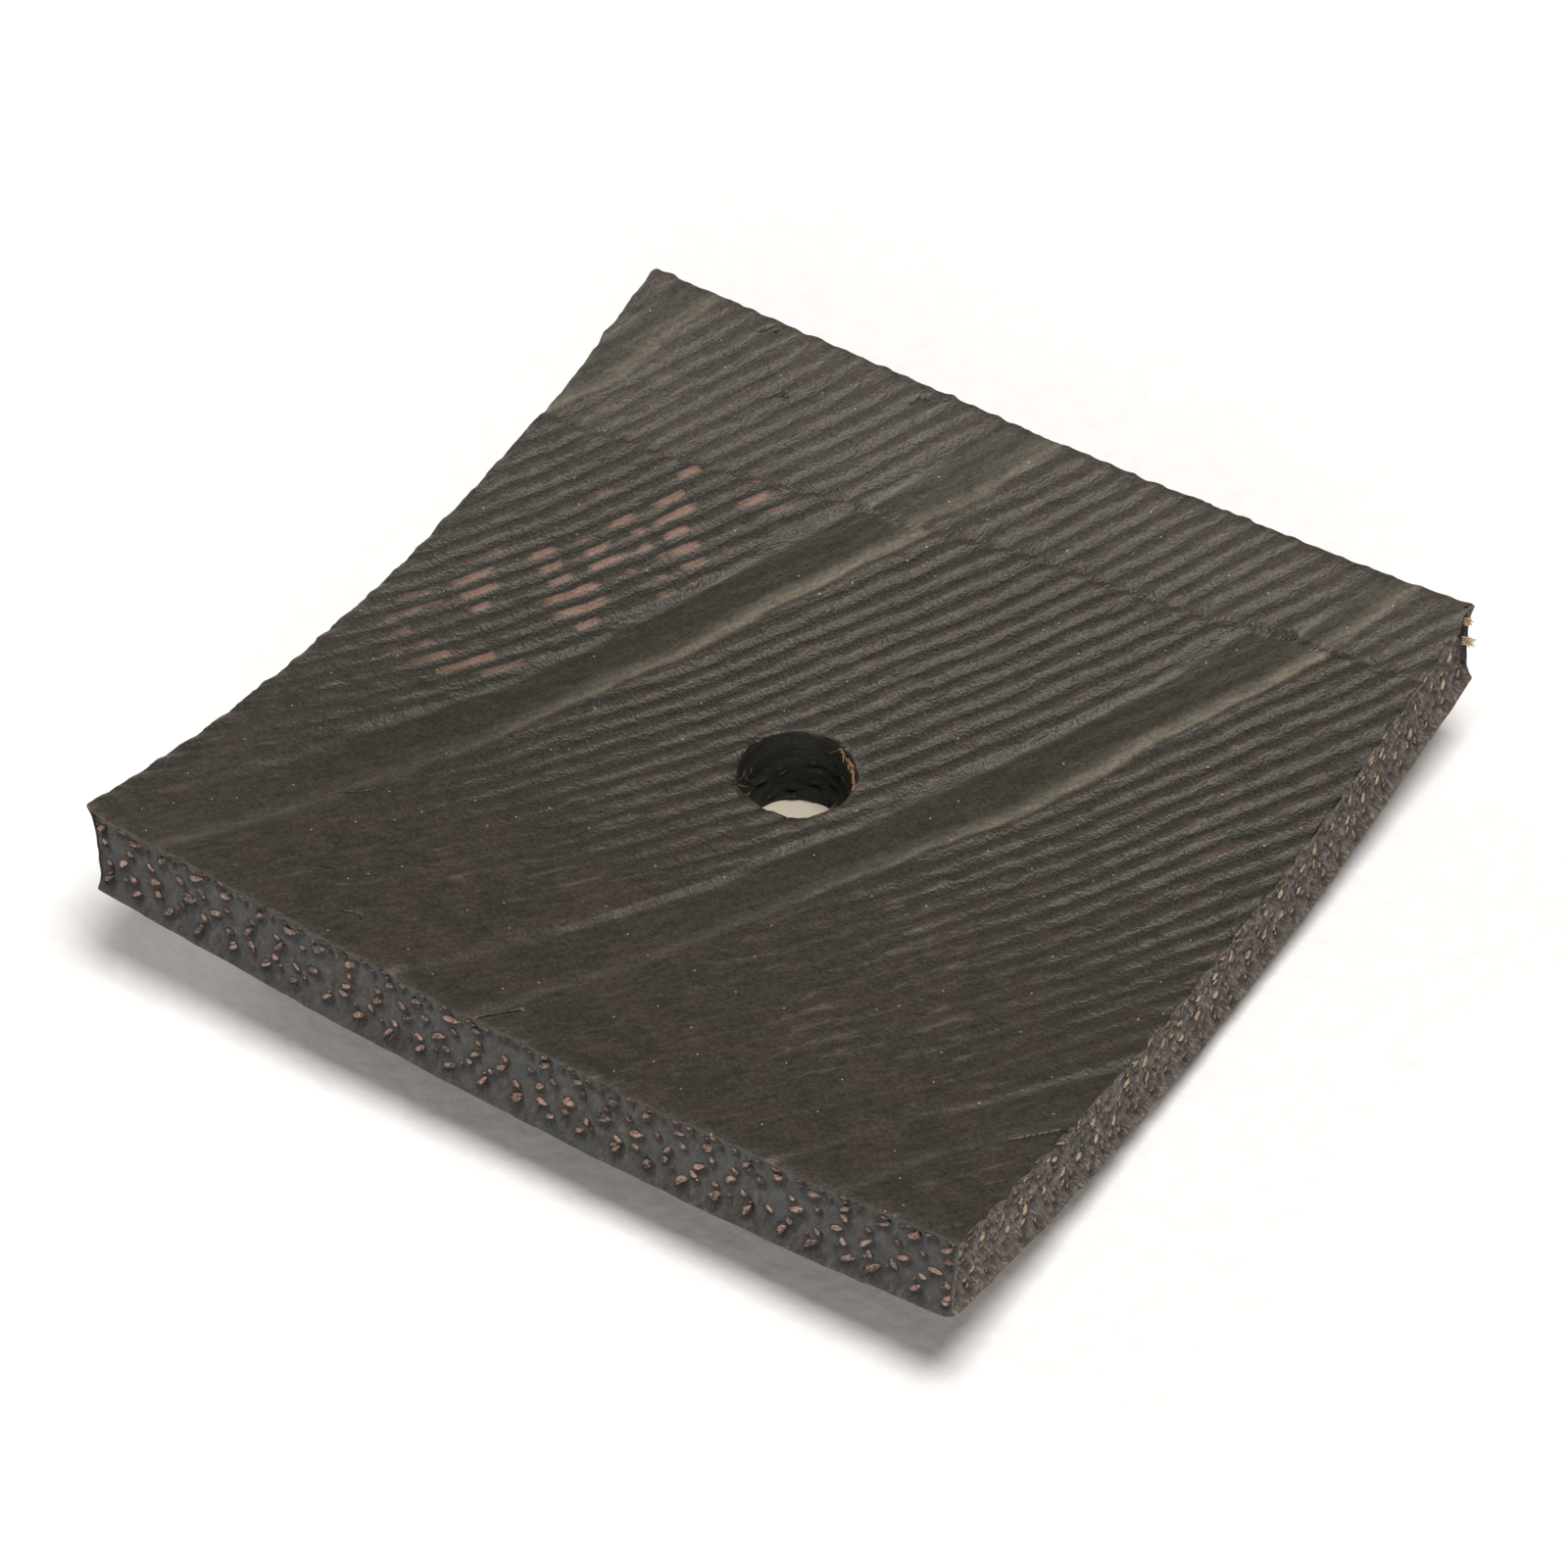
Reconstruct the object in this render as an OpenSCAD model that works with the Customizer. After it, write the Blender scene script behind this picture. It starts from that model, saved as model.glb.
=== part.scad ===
// Body mount pad: a square cut from ribbed, cord reinforced rubber sheet, with one
// punched bolt hole. The sheet has kept the curl of the casing that it was cut from,
// so its edges stand up and it rests on the middle of its underside.
// The origin is on the axis of the bolt hole, at the underside. Sizes are millimetres.

/* [Pad] */
// Width of the pad over its top, from left to right
pad_w = 101.6; // [80:0.1:130]
// Length of the pad over its top, from front to back
pad_l = 101.6; // [80:0.1:130]
// Thickness of the sheet over its ribs
pad_t = 9; // [6:0.1:14]

/* [Bolt hole] */
// Diameter of the bolt hole
hole_d = 12.1; // [8:0.1:20]
// How far the hole stands to the right of the pad's middle
hole_right = 0.6; // [-3:0.1:3]
// How far the hole stands behind the pad's middle
hole_back = -0.4; // [-3:0.1:3]

/* [Curl] */
// Rise of the left and right edges above the middle
side_rise = 2; // [0:0.1:5]
// Rise of the front and back edges above the middle
end_rise = 6.9; // [0:0.1:10]
// Extra rise of the right edge, which the left edge lacks
right_rise = 0.6; // [-2:0.1:2]
// Extra rise of the front left and back right corners
twist_rise = 0.7; // [-2:0.1:2]
// Curl that the front left corner has and the back right corner lacks
corner_curl = 1.6; // [-2:0.1:3]

/* [Ribs] */
// Distance from one rib to the next
rib_pitch = 2.35; // [2:0.05:4]
// Height of a rib above the grooves beside it
rib_h = 0.4; // [0.1:0.05:0.8]
// Angle of the ribs from the front edge
rib_angle = 58.5; // [45:0.5:70]
// Distance from the front edge over which the ribs are worn down
worn_l = 34; // [5:1:60]

/* [Troughs] */
// Distance from one trough to the next
trough_pitch = 38.2; // [25:0.1:60]
// Width of a trough between the middles of its walls
trough_w = 6.4; // [3:0.1:10]
// Depth of a trough below the tops of the ribs
trough_h = 0.7; // [0.3:0.05:1.5]
// Width of a trough's sloping walls
trough_wall = 1.6; // [0.8:0.1:2.5]
// Angle of the troughs from the front edge
trough_angle = 64.5; // [45:0.5:75]
// Distance from the pad's middle to the trough beside the hole
trough_off = 15.2; // [5:0.1:25]

/* [Seam] */
// Distance from the pad's middle to the seam where two plies meet
seam_back = 35; // [20:0.5:38]
// Angle of the seam from the front edge
seam_angle = 6.7; // [-10:0.1:10]
// Width of the crease along the seam
seam_w = 1.6; // [0.6:0.1:3]
// Depth of the crease below the grooves
seam_h = 0.25; // [0.1:0.05:0.6]

/* [Cut faces] */
// Thickness of the lips at the top and the bottom of a cut face
lip_t = 1.3; // [0.5:0.1:2.5]
// How far a cut face stands in behind its lips
lip_in = 0.7; // [0.2:0.1:2]
// How far the bottom lip stands out past the top lip, at the front
front_lean = 2.3; // [-4:0.1:4]
// How far the bottom lip stands out past the top lip, at the back
back_lean = -0.8; // [-4:0.1:4]
// How far the bottom lip stands out past the top lip, on the left
left_lean = -2.3; // [-4:0.1:4]
// How far the bottom lip stands out past the top lip, on the right
right_lean = 0.8; // [-4:0.1:4]

/* [Hidden] */

rubber = [0.15, 0.14, 0.13];
half_w = pad_w / 2;
half_l = pad_l / 2;

// Unit vectors along and across the ribs, and across the troughs
along = [cos(rib_angle), sin(rib_angle)];
across = [sin(rib_angle), -cos(rib_angle)];
trough_across = [sin(trough_angle), -cos(trough_angle)];

// The surface is drawn on lines that run along the ribs, four to a rib, so that each rib
// has a groove, a shoulder, a top and a shoulder. One more line starts or ends at each
// of the two corners that the lines pass through.
lines_per_rib = 4;
line_gap = rib_pitch / lines_per_rib;
least_gap = 0.3 * line_gap;
reach = across * [half_w, -half_l];
marks = floor((reach - least_gap) / line_gap);
corner_a = min(across * [-half_w, -half_l], across * [half_w, half_l]);
corner_b = max(across * [-half_w, -half_l], across * [half_w, half_l]);
free_marks = [
    for (k = [-marks : marks])
        if (abs(k * line_gap - corner_a) > least_gap && abs(k * line_gap - corner_b) > least_gap)
            k * line_gap
];
lines = concat(
    [for (a = free_marks) if (a < corner_a) a],
    [corner_a],
    [for (a = free_marks) if (a > corner_a && a < corner_b) a],
    [corner_b],
    [for (a = free_marks) if (a > corner_b) a]
);
count = len(lines);

// Steps along a line: on the top up to the seam and past it, and on the underside
steps_to_seam = 7;
steps_past_seam = 3;
top_steps = steps_to_seam + steps_past_seam + 2;
base_steps = 5;

// How worn ribs look: this share of their height is left all over
worn_share = 0.55;

function mix(low, high, share) = low + (high - low) * share;
function limit(value, low, high) = min(max(value, low), high);
function smooth(share) = let (s = limit(share, 0, 1)) s * s * (3 - 2 * s);

// Height of the curled sheet above its middle, at a place on the pad
function curl(p) =
    let (s = p.x / half_w, t = p.y / half_l)
    (side_rise + right_rise * s) * s * s + end_rise * t * t
        + (twist_rise - corner_curl / 2 * (s + t)) * s * t;

// Slope of the curled sheet towards the right and towards the back
function slope(p) =
    let (s = p.x / half_w, t = p.y / half_l)
    let (twist_s = twist_rise - corner_curl * (s + t / 2), twist_t = twist_rise - corner_curl * (s / 2 + t))
    let (to_right = (2 * side_rise + 3 * right_rise * s) * s + twist_s * t)
    let (to_back = 2 * end_rise * t + twist_t * s)
    [to_right / half_w, to_back / half_l];

// Distance behind the seam, and how far inside a trough a place lies, from 0 to 1
function behind_seam(p) = (p.y - seam_back) * cos(seam_angle) - p.x * sin(seam_angle);
function in_trough(p) =
    let (turns = (p * trough_across - trough_off) / trough_pitch)
    let (aside = abs(turns - round(turns)) * trough_pitch)
    limit((trough_w / 2 - aside) / trough_wall + 0.5, 0, 1);

// A rib is half round, and behind the seam the ribs stand half a pitch out of step
function rib(p) =
    let (shift = behind_seam(p) > 0 ? 0.5 : 0)
    let (turns = p * across / rib_pitch + shift)
    sqrt(1 - pow(2 * (turns - round(turns)), 2));

// Depth of the surface below the tops of the ribs
function relief(p) =
    let (kept = smooth((p.y + half_l) / worn_l))
    let (ribbed = rib_h * (1 - mix(worn_share, rib(p), kept)))
    let (crease = seam_h * limit(1 - abs(behind_seam(p)) * 2 / seam_w, 0, 1))
    mix(ribbed + crease, trough_h, in_trough(p));

// Points on the top and on the underside
function top_point(p) = [p.x, p.y, pad_t + curl(p) - relief(p)];
function base_point(p) =
    let (x = p.x + mix(-left_lean, right_lean, (p.x / half_w + 1) / 2))
    let (y = p.y + mix(-front_lean, back_lean, (p.y / half_l + 1) / 2))
    [x, y, pad_t + curl([x, y]) - pad_t * norm([1, slope([x, y]).x, slope([x, y]).y])];

// Where a line meets the outline and the seam, measured along it
function line_start(a) = max(
    (-half_w - a * across.x) / along.x,
    (-half_l - a * across.y) / along.y
);
function line_end(a) = min(
    (half_w - a * across.x) / along.x,
    (half_l - a * across.y) / along.y
);
function line_seam(a) =
    (seam_back + a * (across.x * tan(seam_angle) - across.y)) / (along.y - along.x * tan(seam_angle));

// Places along a line, with three of them close together at the seam
function top_places(a) =
    let (start = line_start(a), end = line_end(a))
    let (side = min(seam_w / 2 / sin(rib_angle - seam_angle), (end - start) / 12))
    let (seam = limit(line_seam(a), start + 2 * side, end - 2 * side))
    concat(
        [for (j = [0 : steps_to_seam]) mix(start, seam - side, j / steps_to_seam)],
        [seam],
        [for (j = [0 : steps_past_seam]) mix(seam + side, end, j / steps_past_seam)]
    );
function base_places(a) = [for (j = [0 : base_steps]) mix(line_start(a), line_end(a), j / base_steps)];

// The two corners that the first and the last line stand beside
left_corner = [-half_w, half_l];
right_corner = [half_w, -half_l];

surface_points = concat(
    [for (a = lines) for (v = top_places(a)) top_point(a * across + v * along)],
    [for (a = lines) for (v = base_places(a)) base_point(a * across + v * along)],
    [top_point(left_corner), top_point(right_corner)],
    [base_point(left_corner), base_point(right_corner)]
);

// Numbers of the points: line i, place j
function top_no(i, j) = i * (top_steps + 1) + j;
function base_no(i, j) = count * (top_steps + 1) + i * (base_steps + 1) + j;
corner_no = count * (top_steps + base_steps + 2);

// The outline, once around from the left corner by way of the front
top_ring = concat(
    [corner_no],
    [for (i = [0 : count - 1]) top_no(i, 0)],
    [corner_no + 1],
    [for (i = [count - 1 : -1 : 0]) top_no(i, top_steps)]
);
base_ring = concat(
    [corner_no + 2],
    [for (i = [0 : count - 1]) base_no(i, 0)],
    [corner_no + 3],
    [for (i = [count - 1 : -1 : 0]) base_no(i, base_steps)]
);
ring_count = len(top_ring);

// A point of a cut face, behind its lips
function face_point(k, depth) =
    let (p = mix(surface_points[top_ring[k]], surface_points[base_ring[k]], depth / pad_t))
    [p.x * (1 - lip_in / half_w), p.y * (1 - lip_in / half_l), p.z];

face_points = [for (depth = [lip_t, pad_t - lip_t]) for (k = [0 : ring_count - 1]) face_point(k, depth)];
upper_ring = [for (k = [0 : ring_count - 1]) corner_no + 4 + k];
lower_ring = [for (k = [0 : ring_count - 1]) corner_no + 4 + ring_count + k];

// Two triangles for each four sided patch: between two rings, on the top and underneath
function patch(a, b, c, d) = [[a, b, c], [a, c, d]];
function band(high, low) = [
    for (k = [0 : ring_count - 1])
        let (next = (k + 1) % ring_count)
        each patch(high[k], high[next], low[next], low[k])
];
top_faces = [
    for (i = [0 : count - 2])
        for (j = [0 : top_steps - 1])
            each patch(top_no(i, j), top_no(i, j + 1), top_no(i + 1, j + 1), top_no(i + 1, j))
];
base_faces = [
    for (i = [0 : count - 2])
        for (j = [0 : base_steps - 1])
            each patch(base_no(i, j), base_no(i + 1, j), base_no(i + 1, j + 1), base_no(i, j + 1))
];
corner_faces = concat(
    [for (j = [0 : top_steps - 1]) [corner_no, top_no(0, j + 1), top_no(0, j)]],
    [for (j = [0 : top_steps - 1]) [corner_no + 1, top_no(count - 1, j), top_no(count - 1, j + 1)]],
    [for (j = [0 : base_steps - 1]) [corner_no + 2, base_no(0, j), base_no(0, j + 1)]],
    [for (j = [0 : base_steps - 1]) [corner_no + 3, base_no(count - 1, j + 1), base_no(count - 1, j)]]
);

// The sheet before it is punched, with the pad's middle at the origin
module curled_sheet() {
    polyhedron(
        points = concat(surface_points, face_points),
        faces = concat(
            top_faces,
            base_faces,
            corner_faces,
            band(top_ring, upper_ring),
            band(upper_ring, lower_ring),
            band(lower_ring, base_ring)
        ),
        convexity = 6
    );
}

module mount_pad() {
    color(rubber)
        difference() {
            translate([-hole_right, -hole_back, 0])
                curled_sheet();
            translate([0, 0, -pad_t])
                cylinder(h = 3 * pad_t, d = hole_d, $fn = 64);
        }
}

mount_pad();
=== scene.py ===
# Body mount pad: the looks of a square cut from ribbed, cord reinforced rubber sheet.
# Shapes are worked out in millimetres from the pad's middle, and placed in metres.
import math

import bmesh
import bpy
import numpy as np
from mathutils import Matrix, Vector, geometry


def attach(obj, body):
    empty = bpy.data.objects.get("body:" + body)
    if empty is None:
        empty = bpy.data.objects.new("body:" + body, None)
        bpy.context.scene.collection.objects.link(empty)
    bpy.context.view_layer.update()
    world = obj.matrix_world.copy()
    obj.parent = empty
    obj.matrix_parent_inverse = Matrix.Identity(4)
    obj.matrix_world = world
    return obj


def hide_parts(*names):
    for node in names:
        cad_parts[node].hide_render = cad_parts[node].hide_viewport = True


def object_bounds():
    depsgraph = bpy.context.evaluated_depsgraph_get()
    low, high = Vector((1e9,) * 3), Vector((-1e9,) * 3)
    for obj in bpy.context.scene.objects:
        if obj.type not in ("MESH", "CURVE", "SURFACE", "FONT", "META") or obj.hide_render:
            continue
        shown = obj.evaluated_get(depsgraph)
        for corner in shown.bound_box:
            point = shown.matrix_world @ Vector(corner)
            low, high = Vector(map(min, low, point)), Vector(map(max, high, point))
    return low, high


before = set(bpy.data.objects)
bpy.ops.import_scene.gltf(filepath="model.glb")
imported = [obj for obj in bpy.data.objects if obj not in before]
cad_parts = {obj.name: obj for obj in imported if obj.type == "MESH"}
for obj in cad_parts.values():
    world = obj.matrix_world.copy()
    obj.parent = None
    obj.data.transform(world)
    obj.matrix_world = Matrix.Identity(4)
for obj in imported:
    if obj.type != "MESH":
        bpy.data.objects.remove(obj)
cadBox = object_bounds()
print("frame loaded")


# Helpers shared by every piece
def hexColour(text):
    # sRGB hex to the linear colour that Blender works in
    parts = [int(text[i:i + 2], 16) / 255 for i in (1, 3, 5)]
    linear = [c / 12.92 if c <= 0.04045 else ((c + 0.055) / 1.055) ** 2.4 for c in parts]
    return (*linear, 1.0)


def addNode(tree, kind, inputs=None, **settings):
    # A number, colour or vector sets a socket, and another node's socket is linked to it
    node = tree.nodes.new("ShaderNode" + kind)
    for name, value in settings.items():
        setattr(node, name, value)
    for name, value in (inputs or {}).items():
        socket = node.inputs[name]
        if isinstance(value, bpy.types.NodeSocket):
            tree.links.new(value, socket)
        else:
            socket.default_value = value
    return node


def newMaterial(name):
    # With it come its empty node tree and the place on the body, in metres
    material = bpy.data.materials.new(name)
    material.use_nodes = True
    tree = material.node_tree
    tree.nodes.clear()
    return material, tree, addNode(tree, "TexCoord").outputs["Object"]


def factOf(tree, name, output="Fac"):
    # What keepFact has stored on the points of a piece
    return addNode(tree, "Attribute", attribute_name=name).outputs[output]


def noiseOf(tree, place, scale, detail=2.0, roughness=0.5, distortion=0.0):
    inputs = {"Vector": place, "Scale": scale, "Detail": detail, "Roughness": roughness,
              "Distortion": distortion}
    return addNode(tree, "TexNoise", inputs).outputs["Fac"]


def calculated(tree, operation, *values, **settings):
    return addNode(tree, "Math", dict(enumerate(values)), operation=operation, **settings).outputs[0]


def rescaled(tree, value, low, high, newLow=0.0, newHigh=1.0):
    inputs = {"Value": value, "From Min": low, "From Max": high, "To Min": newLow, "To Max": newHigh}
    return addNode(tree, "MapRange", inputs).outputs[0]


def mixed(tree, share, first, second, **settings):
    # Each colour is a hex text or another node's socket
    low, high = [hexColour(colour) if isinstance(colour, str) else colour for colour in (first, second)]
    return addNode(tree, "Mix", {0: share, 6: low, 7: high}, data_type="RGBA", **settings).outputs[2]


def shadesOf(tree, value, *stops):
    # From one hex colour to the next, as the value passes their stops
    node = addNode(tree, "ValToRGB", {"Fac": value})
    elements = node.color_ramp.elements
    elements.remove(elements[1])
    elements[0].position, elements[0].color = stops[0][0], hexColour(stops[0][1])
    for place, colour in stops[1:]:
        elements.new(place).color = hexColour(colour)
    return node.outputs["Color"]


def addSurface(tree, colour, roughness, heights, strength, millimetres, sockets=None):
    # The shader, with a bump as high as the millimetres say where its strength is 1
    bump = addNode(tree, "Bump", {"Height": heights, "Strength": strength, "Distance": millimetres / 1000})
    shader = addNode(tree, "BsdfPrincipled", {"Base Color": colour, "Roughness": roughness,
                                              "Normal": bump.outputs[0], **(sockets or {})})
    addNode(tree, "OutputMaterial", {"Surface": shader.outputs[0]})


def softNoise(x, y, size, seed):
    # Smooth noise from -1 to 1, with knots that stand size millimetres apart
    table = np.random.default_rng(seed).uniform(-1, 1, (128, 128))
    gx, gy = x / size + 500.5, y / size + 500.5
    ix, iy = np.floor(gx).astype(int), np.floor(gy).astype(int)
    fx, fy = gx - ix, gy - iy
    fx, fy = fx * fx * (3 - 2 * fx), fy * fy * (3 - 2 * fy)
    low = table[ix % 128, iy % 128] * (1 - fx) + table[(ix + 1) % 128, iy % 128] * fx
    high = table[ix % 128, (iy + 1) % 128] * (1 - fx) + table[(ix + 1) % 128, (iy + 1) % 128] * fx
    return low * (1 - fy) + high * fy


def layered(x, y, *layers):
    # Noises added up, each with its strength, size and seed
    return sum(strength * softNoise(x, y, size, seed) for strength, size, seed in layers)


def smooth(share):
    s = np.clip(share, 0, 1)
    return s * s * (3 - 2 * s)


def ramp(value, start, end):
    # 0 up to start, 1 from end on, and a smooth rise between
    return smooth((value - start) / (end - start))


def bell(distance, width):
    # 1 at distance 0, and almost nothing at twice the width
    return np.exp(-(distance / width) ** 2)


def blend(low, high, share):
    return low + (high - low) * share


# The sheet: its size, curl and cut, its ribs and small relief, and how fine its mesh is
sheet = {
    "width": 101.6, "length": 101.6, "thick": 9.0,
    "sideRise": 2.0, "rightRise": 0.6, "endRise": 6.9, "twistRise": 0.7, "cornerCurl": 1.6,
    "holeRight": 0.6, "holeBack": -0.4, "holeDiameter": 12.1,
    "frontLean": 2.3, "backLean": -0.8, "leftLean": -2.3, "rightLean": 0.8,
    "ribPitch": 2.35, "ribHeight": 0.32, "ribAngle": 58.5, "ribFan": 0.04,
    "wornShare": 0.5, "wearLength": 52, "twistLength": 2.3, "ribTwist": 0.16, "ribLumps": 0.2,
    "beadRise": 0.1, "flakeRise": 0.1, "edgeRounding": 0.25, "edgeRoughness": 0.11, "hazeShare": 0.12,
    "linesPerRib": 8, "alongStep": 0.74, "columnsPerSide": 360, "baseLinesPerRib": 2, "baseStep": 1.7,
    "lipIn": 0.66, "lipLevel": 0.05,
}
halfWidth, halfLength = sheet["width"] / 2, sheet["length"] / 2
holeX, holeY, holeRadius = sheet["holeRight"], sheet["holeBack"], sheet["holeDiameter"] / 2

# The two edges of each trough, from the front edge of the pad to the back one
troughs = [
    {"far": [(-50.6, -51), (-44, -35), (-34.2, -11), (-30.3, -3.3), (-26.8, 6.5), (-21.8, 18), (-14.4, 33.7),
             (-12.6, 37)],
     "near": [(-42.2, -51), (-40.3, -46), (-32.7, -26), (-26, -9.3), (-22, 1.3), (-18.7, 8), (-14, 19.3),
              (-6.1, 33.7), (-4.4, 37)],
     "behindSeam": False, "depth": 0.62},
    {"far": [(-14.2, -51), (-7.3, -37), (1.3, -20), (6, -9.3), (10.3, -1), (18.2, 13), (24.8, 27),
             (31.4, 39.7)],
     "near": [(-4.8, -51), (-4.3, -50), (4.7, -28.7), (10, -16.7), (18, -1.3), (24, 8.7), (29.3, 20.7),
              (39.3, 38.3), (40.4, 40.5)],
     "behindSeam": False, "depth": 0.62},
    {"far": [(29.6, -51), (31.4, -48), (34.7, -40), (43, -29.3), (51, -18)],
     "near": [(37.4, -51), (38.7, -48), (42, -40), (50.3, -29.3), (56, -22)],
     "behindSeam": False, "depth": 0.48},
    {"far": [(-60, 20), (-54, 33), (-50.2, 41), (-47.5, 51)],
     "near": [(-56, 20), (-50, 30), (-46.3, 36), (-44, 45.3), (-41.5, 51)],
     "behindSeam": True, "depth": 0.6},
    {"far": [(-15.6, 30), (-11.3, 39.3), (-7.3, 47.3), (-5.6, 51)],
     "near": [(-9, 30), (-6.7, 35.3), (-2.7, 42), (0.7, 49.3), (1.4, 51)],
     "behindSeam": True, "depth": 0.6},
    {"far": [(31, 30), (35.8, 40.7), (39.5, 50), (40, 51)],
     "near": [(35.2, 30), (40.3, 40.7), (44, 50), (44.4, 51)],
     "behindSeam": True, "depth": 0.5},
]
troughWalls = {"slant": 0.9, "farFrom": -0.9, "farTo": 0.7, "nearFrom": -1.5, "nearTo": 1.2, "palePart": 1.3}

seamLine = [(-52, 28.5), (-34, 30.3), (-14, 34), (-6, 34.7), (4.7, 36.7), (16.7, 37.3), (27.3, 38),
            (34.7, 39.7), (40.7, 39.8), (52, 40.4)]
seamForm = {  # slant is how many millimetres square to the seam make up one along y
    "slant": 0.993, "creaseWidth": 0.7, "creaseDepth": 0.04, "crackWidth": 0.15, "crackDepth": 0.35,
    "plyWidth": 6, "plyRise": 0.08, "ribsFlatWidth": 0.55, "ribsFlatShare": 0.55,
}
seamGaps = [(-36, -31, 0.2), (-14.5, -10.5, 0.7), (10, 13, 0.25), (33.5, 42.5, 0.8)]  # from x, to x, how open

# Short cuts and cracks in the top: points, depth and half width
nicks = [
    ([(-4.2, -50.8), (-2.6, -48.4), (-1.4, -46.6)], 0.4, 0.16),
    ([(46.6, -34.6), (48.6, -32.4), (50.8, -30.2)], 0.45, 0.2),
    ([(-34.6, -30.4), (-33.2, -29.4), (-32.4, -28.2)], 0.12, 0.16),
    ([(-28.9, -41.6), (-27.6, -40.9)], 0.12, 0.16),
    ([(-23.2, -46.1), (-22.0, -45.3), (-21.1, -45.4)], 0.13, 0.17),
    ([(-35.6, 48.7), (-34.9, 49.6), (-33.8, 49.3)], 0.13, 0.18),
    ([(-16.0, 47.9), (-15.6, 48.9), (-14.6, 49.2), (-13.9, 48.5)], 0.13, 0.18),
    ([(-30.0, 41.8), (-29.3, 42.9), (-28.2, 42.6)], 0.13, 0.18),
]

# Spots where the ribs are scuffed rough: x, y and radius
scuffedSpots = [(-11.3, -12.6, 5.5), (-10.8, -25.9, 4), (-19.7, -32.5, 3.5), (42.5, 13, 4), (24.8, -13.7, 7),
                (23.7, -31.4, 6), (-4, 8, 4), (3, 14, 4), (33, -24, 5)]


def curlHeight(x, y):
    s, t = x / halfWidth, y / halfLength
    sideways = (sheet["sideRise"] + sheet["rightRise"] * s) * s * s
    twist = (sheet["twistRise"] - sheet["cornerCurl"] / 2 * (s + t)) * s * t
    return sideways + sheet["endRise"] * t * t + twist


def curlSteepness(x, y):
    # How much thicker the curled sheet is where it slopes, measured straight down
    step = 0.01
    toRight = (curlHeight(x + step, y) - curlHeight(x - step, y)) / (2 * step)
    toBack = (curlHeight(x, y + step) - curlHeight(x, y - step)) / (2 * step)
    return np.sqrt(1 + toRight ** 2 + toBack ** 2)


def ribTurn(across):
    # The ribs fan out a little towards the left
    return np.radians(sheet["ribAngle"] - sheet["ribFan"] * across)


def ribPlace(x, y):
    # Millimetres across the ribs and along them
    middle = ribTurn(0)
    across = x * np.sin(middle) - y * np.cos(middle)
    for _ in range(4):
        angle = ribTurn(across)
        across = (x * np.sin(angle) - y * np.cos(angle)) / np.cos(angle - middle)
    angle = ribTurn(across)
    return across, x * np.cos(angle) + y * np.sin(angle) - across * np.sin(middle - angle)


def placeOnPad(across, along):
    # The way back from ribPlace
    middle, angle = ribTurn(0), ribTurn(across)
    return across * np.sin(middle) + along * np.cos(angle), along * np.sin(angle) - across * np.cos(middle)


def ribDrift(x, y):
    # How far the ribs stand out of line, in turns of one rib
    return layered(x, y, (0.07, 2.4, 1), (0.16, 11, 2))


def behindSeam(x, y):
    ragged = layered(x, 0 * x, (0.16, 1.3, 41), (0.22, 4.0, 42))
    return (y - np.interp(x, *zip(*seamLine)) + ragged) * seamForm["slant"]


def lineDistance(x, y, points):
    best = np.full(np.shape(x), 1e9)
    for (ax, ay), (bx, by) in zip(points, points[1:]):
        dx, dy = bx - ax, by - ay
        share = np.clip(((x - ax) * dx + (y - ay) * dy) / (dx * dx + dy * dy), 0, 1)
        best = np.minimum(best, np.hypot(x - ax - share * dx, y - ay - share * dy))
    return best


def lineX(y, points):
    # Where a line that runs from front to back is, at each y
    xs, ys = zip(*points)
    return np.interp(y, ys, xs)


def ribShape(x, y, across, along, seam):
    # The number of the rib at each place, how near its top that is, and how high it stands. Ribs are
    # rounded like ropes, a little out of line, with lumps that differ from rib to rib.
    turns = across / sheet["ribPitch"] + ribDrift(x, y) + np.where(seam > 0, 0.5, 0)
    ribNo = np.round(turns)
    aside = turns - ribNo
    crest = (0.5 + 0.5 * np.cos(2 * math.pi * aside)) ** 1.3
    strands = along / sheet["twistLength"] + 0.8 * aside + 0.5 * softNoise(ribNo * 11.3, along, 4, 17)
    twist = np.cos(2 * math.pi * strands) * smooth(0.6 + softNoise(x, y, 7, 18))
    ownPlace = ribNo * 37.7  # puts each rib in a part of the noise of its own
    lumps = softNoise(ownPlace, along, 2.1, 4) + 0.8 * softNoise(ownPlace + aside, along, 1.0, 5)
    swell = softNoise(ownPlace, along, 9, 6)
    height = 0.86 + sheet["ribTwist"] * twist + sheet["ribLumps"] * lumps + 0.1 * swell

    # They lie flat at the seam, and are pressed level along the left and back edges
    height = crest * height * (1 - seamForm["ribsFlatShare"] * bell(seam, seamForm["ribsFlatWidth"]))
    fromFarEdges = np.clip(np.minimum(x + halfWidth, halfLength - y), 0, 9)
    return ribNo, crest, blend(height, 0.7, 0.55 * np.exp(-fromFarEdges / 0.9))


def ribsLeft(x, y):
    # Wear: the ribs fade towards the front, but least at the left edge. They are rubbed down a
    # little along the back edge, and in the front right quarter.
    fadeStart = np.interp(x, [-51, -30, -10, 20, 51], [-45, -45, -42, -41, -45])
    kept = smooth((y - fadeStart + 3.5 * softNoise(x, y, 9, 7)) / sheet["wearLength"])
    kept = np.maximum(kept, 0.8 * ramp(x, -46.5, -50) * ramp(y, -49, -41))
    return kept * (1 - 0.6 * ramp(y, 44, 50)) * (1 - 0.2 * ramp(x, 2, 28) * ramp(y, 20, -16))


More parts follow.
